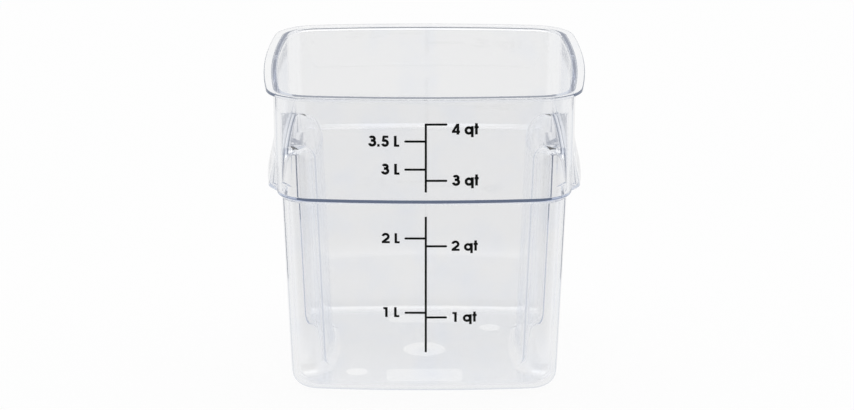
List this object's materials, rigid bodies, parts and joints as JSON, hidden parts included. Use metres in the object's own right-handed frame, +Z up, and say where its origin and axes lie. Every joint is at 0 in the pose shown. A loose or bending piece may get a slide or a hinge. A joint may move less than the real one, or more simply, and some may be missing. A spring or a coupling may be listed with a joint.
{
  "type": "food storage tub",
  "caption": "Clear square food storage tub with a flanged rim, moulded hand grips over finger recesses, and a printed volume scale.",
  "frame": {"origin": "centre of the base, where the tub stands", "axes": "+Z up through the open mouth, -Y towards the wall with the printed scale, +X and -X towards the two hand grips"},
  "size_m": [0.1906, 0.1906, 0.1825],
  "materials": {
    "clear_plastic": "clear polycarbonate, moulded smooth and glossy inside and out",
    "scale_ink": "very dark green printing ink, satin"
  },
  "bodies": {
    "root": {"tub_body": "clear_plastic", "scale_upper": "scale_ink", "scale_lower": "scale_ink"}
  },
  "joints": []
}
